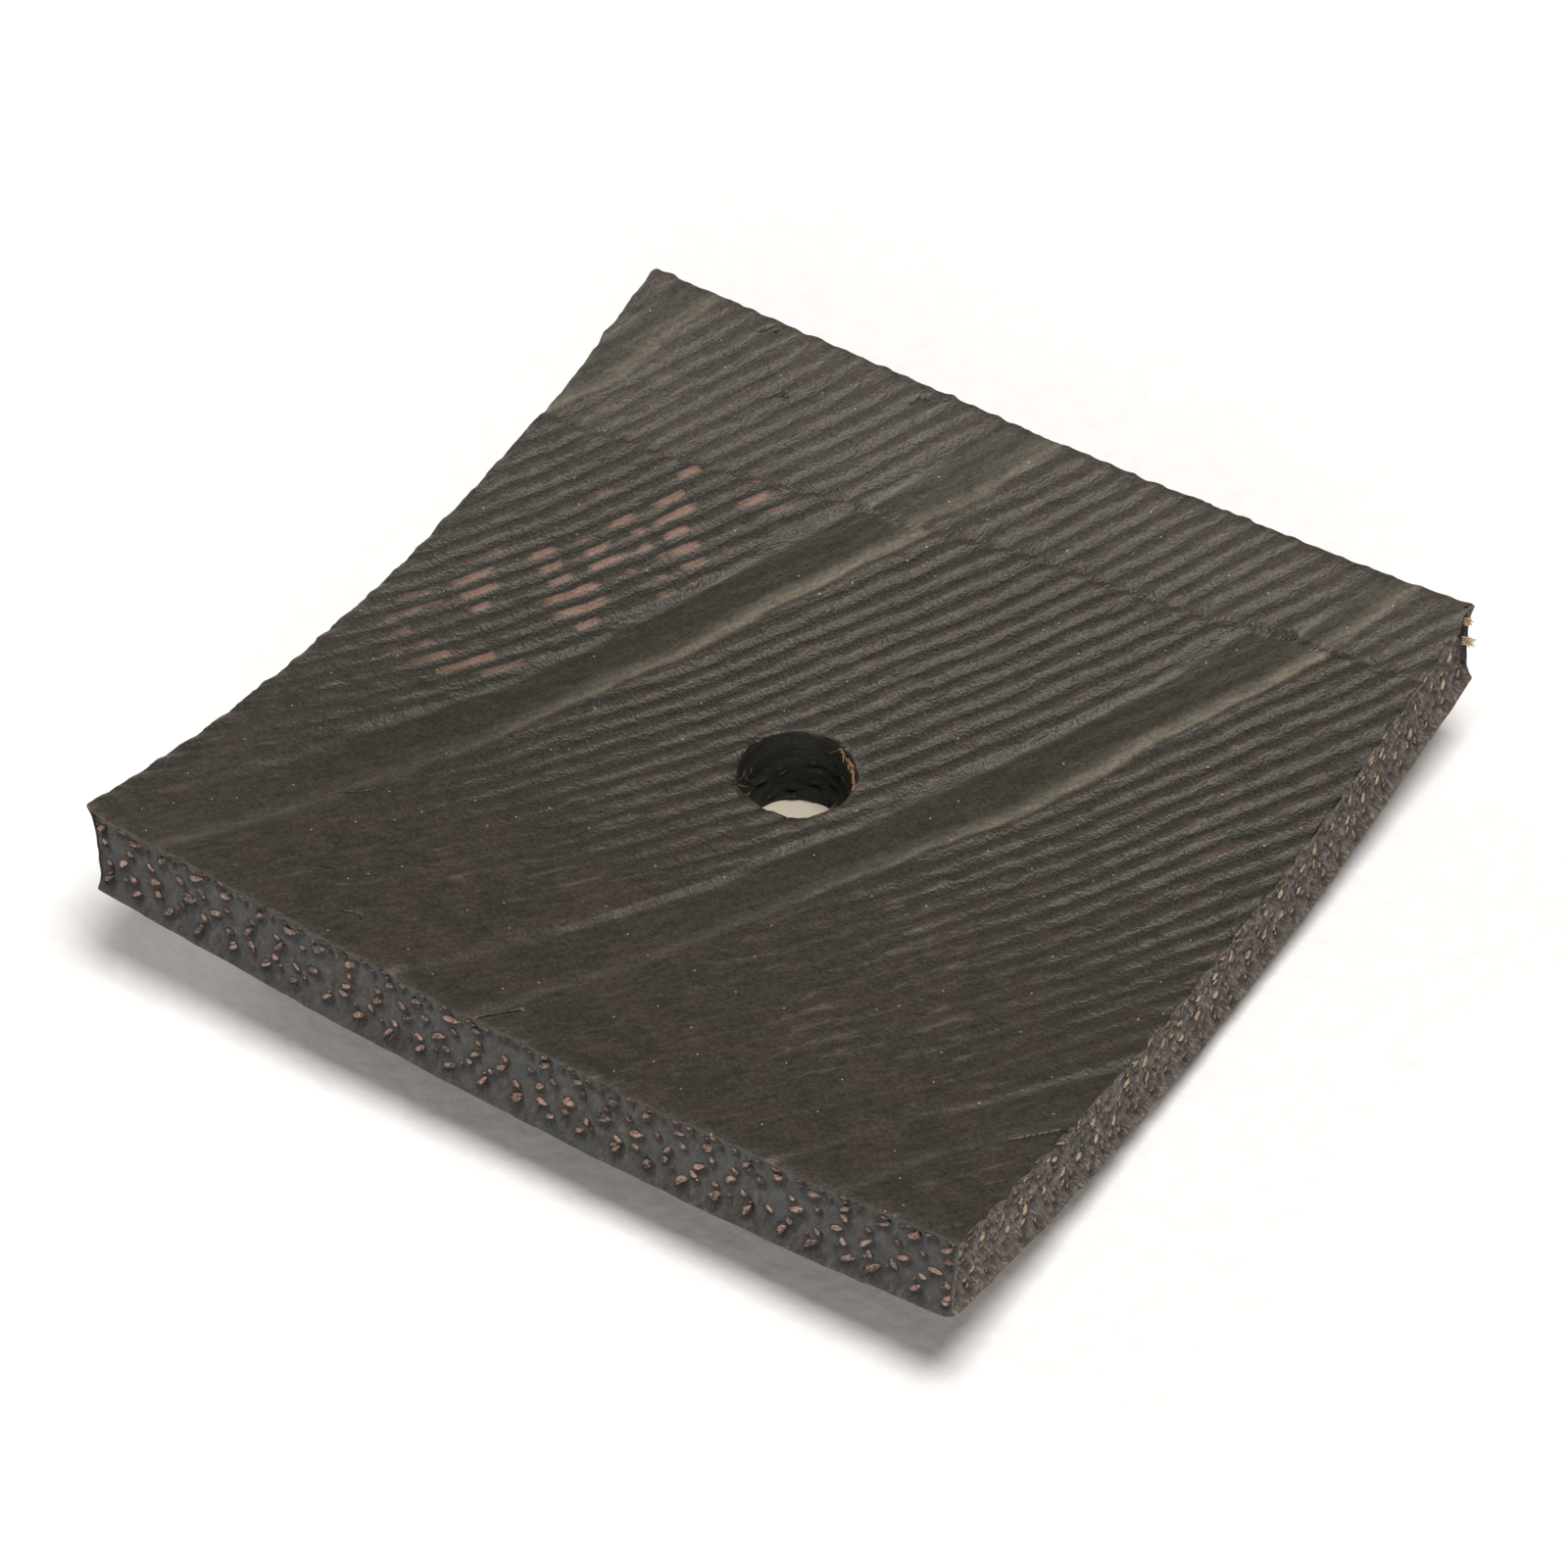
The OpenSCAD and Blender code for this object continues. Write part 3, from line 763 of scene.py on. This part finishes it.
def triangulated(x, y, loops, stretch):
    # Triangles between loops of points, the first round the outside and the rest round holes, over
    # the free points that follow them. They are long and thin along the ribs, as the ribs are.
    across, along = ribPlace(x, y)
    flat = [Vector(p) for p in zip(across.tolist(), (along / stretch).tolist())]
    edges = []
    for first, size in loops:
        edges += [(first + k, first + (k + 1) % size) for k in range(size)]
    made = geometry.delaunay_2d_cdt(flat, edges, [], 0, 1e-7, True)
    origin = np.array([ids[0] for ids in made[3]])
    faces = origin[np.array(made[2])]
    # A triangle whose corners are all on loops may lie outside them or in a hole
    doubtful = np.nonzero((faces < sum(size for _, size in loops)).all(1))[0]
    middle = np.stack([across[faces[doubtful]].mean(1), along[faces[doubtful]].mean(1)], 1)
    crossings = np.zeros(len(doubtful), int)
    for first, size in loops:
        loop = np.arange(first, first + size)
        ax, ay, bx, by = across[loop], along[loop], across[np.roll(loop, -1)], along[np.roll(loop, -1)]
        mx, my = middle[:, :1], middle[:, 1:]
        spans = (ay > my) != (by > my)
        meets = ax + (my - ay) / np.where(by == ay, 1, by - ay) * (bx - ax)
        crossings += (spans & (meets > mx)).sum(1)
    kept = np.ones(len(faces), bool)
    kept[doubtful] = crossings % 2 == 1
    return faces[kept].tolist()


def strip(outer, inner, size):
    # Faces between two loops of the same size
    return [(outer + k, outer + (k + 1) % size, inner + (k + 1) % size, inner + k) for k in range(size)]


# The bolt hole: a torn wall from a ragged rim down to a foot that is narrower and further forward
bore = {
    "columns": 150, "levels": 17, "wideRing": 0.25, "footIn": 0.97, "footBack": -0.45,
    "rimDrop": 0.16, "rimUneven": 0.1, "ragged": 0.28, "fineRagged": 0.1, "tear": 0.3, "fineTear": 0.14,
}
boreAngle = np.arange(bore["columns"]) / bore["columns"] * 2 * math.pi
boreOut = np.stack([np.cos(boreAngle), np.sin(boreAngle), 0 * boreAngle], 1)


def boreNoise(radius, size, seed, offset=0.0):
    # Noise that runs round the bore and meets itself
    return softNoise(radius * boreOut[:, 0], radius * boreOut[:, 1] + offset, size, seed)


def boreRing(radius, back=0.0):
    return holeX + radius * boreOut[:, 0], holeY + back + radius * boreOut[:, 1]


boreRagged = boreNoise(3, 0.9, 31) * bore["ragged"]
rimX, rimY = boreRing(holeRadius + boreRagged + bore["fineRagged"] * boreNoise(9, 0.8, 32))


def clearOfEdge(x, y, clear):
    return np.maximum(np.abs(x) - halfWidth, np.abs(y) - halfLength) < -clear


def freePoints(linesPerRib, stepAlong, clear):
    # Points on lines that follow the ribs, every other line moved on by half a step
    line = np.arange(-32 * linesPerRib, 32 * linesPerRib)[:, None]
    along = np.arange(-75, 75, stepAlong) + stepAlong / 2 * (line % 2)
    across = line / linesPerRib * sheet["ribPitch"] + 0 * along
    x, y = placeOnPad(across, along)
    for _ in range(3):
        x, y = placeOnPad(across - sheet["ribPitch"] * ribDrift(x, y), along)
    kept = clearOfEdge(x, y, clear) & (np.hypot(x - holeX, y - holeY) > holeRadius + 0.75)
    return x[kept], y[kept]


def cutLinePoints():
    # Extra points beside the seam and the nicks, which are narrower than the other points stand apart
    seamX = np.arange(-50.2, 50.2, 0.4)
    seamY = np.interp(seamX, *zip(*seamLine))
    seamY = seamY - behindSeam(seamX, seamY) / seamForm["slant"]
    lines = [(seamX, seamY + offset) for offset in (-0.42, -0.2, 0, 0.2, 0.42)]
    for points, _, _ in nicks:
        for (ax, ay), (bx, by) in zip(points, points[1:]):
            size = math.hypot(bx - ax, by - ay)
            share = np.arange(0.06, 1, 0.3 / size)
            for offset in (-0.3, -0.12, 0, 0.12, 0.3):
                lines.append((blend(ax, bx, share) - (by - ay) / size * offset,
                              blend(ay, by, share) + (bx - ax) / size * offset))
    x, y = np.concatenate(lines, axis=1)
    kept = clearOfEdge(x, y, 0.5)
    return x[kept], y[kept]


def buildPad():
    # Top: the outline and the bore's rim, each with a ring just inside it, then points along the ribs
    around = bore["columns"]
    wideRing = rimX + bore["wideRing"] * boreOut[:, 0], rimY + bore["wideRing"] * boreOut[:, 1]
    free = freePoints(sheet["linesPerRib"], sheet["alongStep"], 0.55)
    x, y = np.concatenate([movedOut(topX, topY, -0.3), wideRing, free, cutLinePoints(),
                           (topX, topY), (rimX, rimY)], axis=1)
    z, facts = topSurface(x, y)
    total = len(x)
    rim = total - around
    lip = rim - count
    z[rim:] -= bore["rimDrop"] + bore["rimUneven"] * boreNoise(8, 1.1, 33)
    points = [np.stack([x, y, z], 1)]
    faces = triangulated(x[:lip], y[:lip], [(0, count), (count, around)], 3.6)
    faces += strip(lip, 0, count) + [face[::-1] for face in strip(rim, count, around)]
    kinds = [0] * len(faces)

    # Cut faces: rings of points from the top lip down to the bottom one, with the cord hollows
    rings = faceRings.copy()
    rings[:, :, :2] -= outward[None] * (hollowAndPaintedShade * hollowShape["deep"])[:, :, None]
    ringStart = [lip]
    for ring in rings[1:]:
        ringStart.append(total)
        points.append(ring)
        total += count
    sideKind = np.repeat([1, 2, 1, 2], columns).tolist()
    for upper, lower, level in zip(ringStart, ringStart[1:], faceLevels[1:]):
        faces += [(a, d, c, b) for a, b, c, d in strip(upper, lower, count)]
        kinds += sideKind if level > sheet["lipLevel"] else [0] * count

    # Underside: fewer points, and no ribs
    footX, footY = boreRing(holeRadius - bore["footIn"] + 0.6 * boreRagged, bore["footBack"])
    foot = np.stack([footX, footY, undersidePoint(footX, footY)[2]], 1)
    under = np.stack(undersidePoint(*freePoints(sheet["baseLinesPerRib"], sheet["baseStep"], 1.0)), 1)
    under = under[np.hypot(under[:, 0] - holeX, under[:, 1] - holeY) > holeRadius + 0.8]
    under[:, 2] += 0.05 + 0.05 * softNoise(under[:, 0], under[:, 1], 5, 51)
    footStart = total
    points += [foot, under]
    total += around + len(under)
    flat = np.concatenate([rings[-1], foot, under])
    numbers = [*range(ringStart[-1], ringStart[-1] + count), *range(footStart, total)]
    for face in triangulated(flat[:, 0], flat[:, 1], [(0, count), (count, around)], 1.0):
        faces.append([numbers[i] for i in reversed(face)])
        kinds.append(3)

    # Bore: torn rubber from the rim down to the foot
    above = rim
    for level in range(1, bore["levels"] + 1):
        below = footStart
        if level < bore["levels"]:
            share = level / bore["levels"]
            tear = bore["tear"] * boreNoise(3, 1.2, 34, share * 24)
            tear += bore["fineTear"] * boreNoise(7, 0.9, 35, share * 30)
            tear = tear * math.sin(math.pi * min(1, share * 1.6) * 0.5 + 0.2)
            below = total
            points.append(blend(points[0][rim:], foot, share) + boreOut * tear[:, None])
            total += around
        faces += strip(above, below, around)
        kinds += [4] * around
        above = below

    points = np.concatenate(points)
    pad = addPiece("padSheet", points, faces, [liner, slateCut, brownCut, underside, boreRubber], kinds)
    for name, values in facts.items():
        keepFact(pad, name, np.concatenate([values, np.zeros(len(points) - len(values))]))
    across, along = ribPlace(points[:, 0], points[:, 1])
    keepFact(pad, "ribPlace", np.stack([across, along, 0 * along], 1))
    # Painted shade in the cord hollows, for the cut face materials
    dark = np.zeros(len(points))
    for start, level in zip(ringStart[1:], hollowAndPaintedShade[1:]):
        dark[start:start + count] = level * hollowShape["paintedShade"]
    keepFact(pad, "cordHollowPaintedShade", dark)
    return pad


pad = buildPad()
print("pad built:", sum(len(face.vertices) - 2 for face in pad.data.polygons), "triangles")


def buildCordEnds(side, name, material):
    # Low uneven domes that stand in the hollows of a cut face, painted paler above than below: a
    # # painted highlight on top and painted shade underneath
    around, steps = 9, [(1.0, -0.35), (0.92, 0.35), (0.6, 0.85)]  # size of each ring, and share of the rise
    out = np.array([*sides[side], 0.0])
    random = np.random.default_rng(90 + list(sides).index(side))
    points, faces, lights = [], [], []
    for end in cordEnds[side]:
        angle = np.arange(around) / around * 2 * math.pi
        uneven = random.uniform(0.68, 1.25, around)
        c, w = math.cos(end["tilt"]), math.sin(end["tilt"])
        first = len(lights)
        for size, rise in steps:
            long = np.cos(angle) * end["halfLong"] * size * uneven
            short = np.sin(angle) * end["halfHigh"] * size * uneven
            s, d = end["s"] + long * c + short * w, end["depth"] - long * w + short * c
            s = np.clip(s, -halfWidth + 0.2, halfWidth - 0.2)
            base = facePoint(side, s, np.clip(d, 0.1, sheet["thick"] - 0.1))
            points.append(base + out * (end["rise"] * rise - 0.1))
            # Each end's own lightness, plus a painted highlight on the upper side and painted shade on the
            # lower
            lights += list(end["light"] - 0.2 - 0.5 * np.sin(angle) * size + random.normal(0, 0.24, around))
        points.append([facePoint(side, end["s"], end["depth"]) + out * (end["rise"] - 0.1)])
        lights.append(end["light"] + random.normal(0, 0.1))
        last = first + (len(steps) - 1) * around
        for start in range(first, last, around):
            faces += strip(start, start + around, around)
        for k in range(around):
            faces.append((last + k, last + (k + 1) % around, last + around))
        faces.append(range(first, first + around)[::-1])
    piece = addPiece(name, np.concatenate(points), faces, [material], sharpAngle=80)
    keepFact(piece, "cordToneAndPaintedLight", np.clip(lights, 0, 1))
    return piece


faceCords = {"front": copperCord, "right": tanCord, "back": copperCord, "left": tanCord}
cordPieces = [buildCordEnds(side, "cordEnds" + side.capitalize(), cord) for side, cord in faceCords.items()]


def buildFibres(name, strands, material):
    # Thin bent tubes: start, direction, length, radius and lightness of each
    around, steps = 5, 6
    points, faces, lights = [], [], []
    random = np.random.default_rng(77)
    for start, heading, size, radius, light in strands:
        heading = Vector(heading).normalized()
        bend = Vector(random.normal(0, 1, 3)).cross(heading).normalized() * random.uniform(0.2, 0.7)
        first = len(lights)
        place = Vector(start)
        for n in range(steps + 1):
            axis = (heading + bend * (n / steps) ** 1.5 * 1.6).normalized()
            sideways = axis.orthogonal().normalized()
            other = axis.cross(sideways)
            width = radius * (1 - 0.55 * (n / steps) ** 2)
            for k in range(around):
                a = 2 * math.pi * k / around
                points.append(place + sideways * math.cos(a) * width + other * math.sin(a) * width)
            place = place + axis * size / steps
        last = first + steps * around
        lights += [light] * (last + around - first)
        for ring in range(first, last, around):
            faces += strip(ring, ring + around, around)
        faces.append(range(first, first + around)[::-1])
        faces.append(range(last, last + around))
    piece = addPiece(name, points, faces, [material], sharpAngle=80)
    keepFact(piece, "cordToneAndPaintedLight", lights)
    return piece


def cornerStrands():
    # Frayed cords at the back right corner, then shorter ones at the front right corner
    random = np.random.default_rng(78)
    for depth, size in ((1.2, 0.8), (1.5, 0.9), (1.8, 0.8), (3.5, 1.1), (3.8, 1.4), (4.1, 1.4), (4.4, 1.1)):
        for _ in range(7):
            spot = facePoint("right", halfWidth - 0.35, depth) - [0.3, 0.3, 0]
            heading = (1.0, random.uniform(-0.1, 0.8), random.uniform(-0.45, 0.35))
            yield spot, heading, size * random.uniform(0.7, 1.15), 0.08, random.uniform(0.5, 1.0)
    for depth in (0.9, 1.6, 2.3, 3.4):
        for _ in range(2):
            spot = facePoint("right", -halfWidth + random.uniform(0.3, 1.1), depth) - [0.25, 0, 0]
            heading = (1.0, random.uniform(-0.6, 0.6), random.uniform(-0.1, 0.9))
            yield spot, heading, random.uniform(0.5, 0.9), 0.06, random.uniform(0.5, 0.9)


def boreSpot(angle, radius, depth):
    return holeX + radius * math.cos(angle), holeY + radius * math.sin(angle), sheet["thick"] - depth


def boreStrands():
    # Loose ends round the wall, and one cut cord that lies along it on the right
    random = np.random.default_rng(79)
    for _ in range(26):
        angle = random.uniform(0, 2 * math.pi)
        depth = random.uniform(0.4, 6)
        spot = boreSpot(angle, holeRadius - 0.1 * depth + 0.1, depth)
        turn = random.choice([-1, 1]) * random.uniform(0.8, 1.5)
        heading = (-math.cos(angle) - turn * math.sin(angle), -math.sin(angle) + turn * math.cos(angle),
                   random.uniform(-0.4, 0.4))
        yield spot, heading, random.uniform(0.8, 1.6), random.uniform(0.06, 0.13), random.uniform(0.0, 0.3)
    for _ in range(22):
        angle = math.radians(random.uniform(26, 76))
        radius = holeRadius - 0.05 + random.normal(0, 0.08)
        spot = boreSpot(angle, radius, 0.7 + 1.6 * (1.33 - angle) + random.normal(0, 0.14))
        heading = (math.sin(angle) - 0.25 * math.cos(angle), -math.cos(angle) - 0.25 * math.sin(angle), -0.25)
        yield spot, heading, random.uniform(1.0, 1.8), random.uniform(0.07, 0.12), random.uniform(0.5, 1.0)


fibrePieces = [
    buildFibres("frayedCornerCord", cornerStrands(), cornerCord),
    buildFibres("frayedBoreCord", boreStrands(), boreCord),
]
print("cord ends and fibres built")

for piece in [pad, *cordPieces, *fibrePieces]:
    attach(piece, "root")
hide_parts("mount_pad")


def buildStage():
    # A square of paper that lies under the pad, centred on its bolt hole
    size, low = 1500, cadBox[0][2] * 1000
    corners = [(holeX + size * a, holeY + size * b, low) for a, b in ((-1, -1), (1, -1), (1, 1), (-1, 1))]
    paper = addPiece("backdropPaper", corners, [(0, 1, 2, 3)], [paperSweep()])


# One soft light overhead, and two low white cards: behind on the left, and in front. Each has its
# place and size in metres, its power and its tint, and faces the pad.
softboxes = {
    "overheadSoftbox": ((0.15, 0.02, 0.97), (0.5, 0.5), 9.05, "#fffbf6"),
    "leftCard": ((-0.92, 0.18, 0.3), (0.9, 0.5), 4.9, "#fff5eb"),
    "frontCard": ((0.48, -0.83, 0.3), (1.3, 0.5), 6.4, "#fff3e9"),
}


def setLight():
    world = bpy.data.worlds.new("dimStudio")
    bpy.context.scene.world = world
    world.use_nodes = True
    world.node_tree.nodes.clear()
    glow = addNode(world.node_tree, "Background", {"Color": hexColour("#fffbf6"), "Strength": 0.08})
    addNode(world.node_tree, "OutputWorld", {"Surface": glow.outputs[0]})
    for name, (place, size, power, tint) in softboxes.items():
        lamp = bpy.data.lights.new(name, "AREA")
        lamp.shape = "RECTANGLE"
        lamp.size, lamp.size_y = size
        lamp.energy, lamp.color = power, hexColour(tint)[:3]
        box = bpy.data.objects.new(name, lamp)
        box.location = place
        box.rotation_euler = Vector(place).to_track_quat("Z", "Y").to_euler()
        bpy.context.collection.objects.link(box)
    bpy.context.scene.view_settings.view_transform = "Standard"


# The camera's place comes from the pad's corners in the photograph: degrees, and millimetres
viewpoint = {"elevation": 45.4, "azimuth": 32.72, "distance": 588.2, "right": -1.078, "up": -1.668,
             "lens": 132.6}


def setCamera():
    e, a = math.radians(viewpoint["elevation"]), math.radians(viewpoint["azimuth"])
    back = Vector((math.sin(a) * math.cos(e), -math.cos(a) * math.cos(e), math.sin(e)))
    right = Vector((math.cos(a), math.sin(a), 0))
    up = back.cross(right)
    place = back * viewpoint["distance"] + right * viewpoint["right"] + up * viewpoint["up"]
    place += Vector((-holeX, -holeY, sheet["thick"]))
    camera = bpy.data.objects.new("camera", bpy.data.cameras.new("camera"))
    turn = Matrix((right, up, back)).transposed().to_4x4()
    camera.matrix_world = Matrix.Translation(place / 1000) @ turn
    camera.data.lens = viewpoint["lens"]
    camera.data.sensor_width = 36
    camera.data.clip_start, camera.data.clip_end = 0.01, 10
    bpy.context.collection.objects.link(camera)
    bpy.context.scene.camera = camera


buildStage()
setLight()
setCamera()
print("stage, light and camera set")
